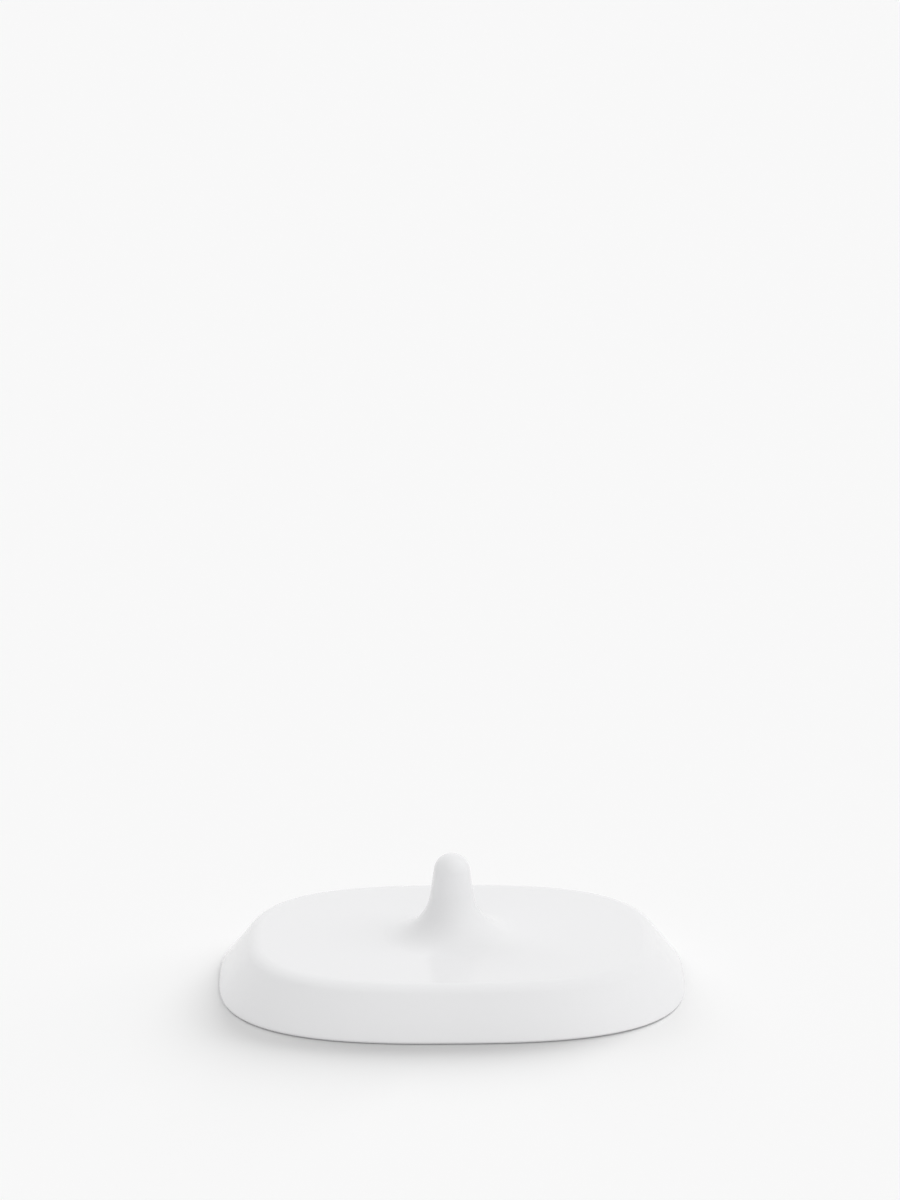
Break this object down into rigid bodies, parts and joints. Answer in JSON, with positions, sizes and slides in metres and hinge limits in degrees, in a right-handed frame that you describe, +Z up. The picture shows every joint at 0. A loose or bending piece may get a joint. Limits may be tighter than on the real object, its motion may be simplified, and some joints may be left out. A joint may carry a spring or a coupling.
{
  "type": "soap dish",
  "caption": "Low rounded soap dish with flared sides, a flat gloss deck and one slim central pin; a closing plate and non-slip feet beneath.",
  "frame": {"origin": "centre of the footprint on the table, under the pin's axis", "axes": "+X along the width, -Y to the front, +Z up along the pin"},
  "size_m": [0.134, 0.1, 0.0381],
  "materials": {
    "white_gloss": "polished white moulding",
    "white_matte": "fine matte white moulding",
    "silicone": "milky grey silicone",
    "stainless": "plain stainless steel"
  },
  "bodies": {
    "root": {"body_shell": "white_gloss", "base_plate": "white_matte", "foot_front_left": "silicone", "foot_front_right": "silicone", "foot_back_left": "silicone", "foot_back_right": "silicone", "screw_front_left": "stainless", "screw_front_right": "stainless", "screw_back_left": "stainless", "screw_back_right": "stainless"}
  },
  "joints": []
}
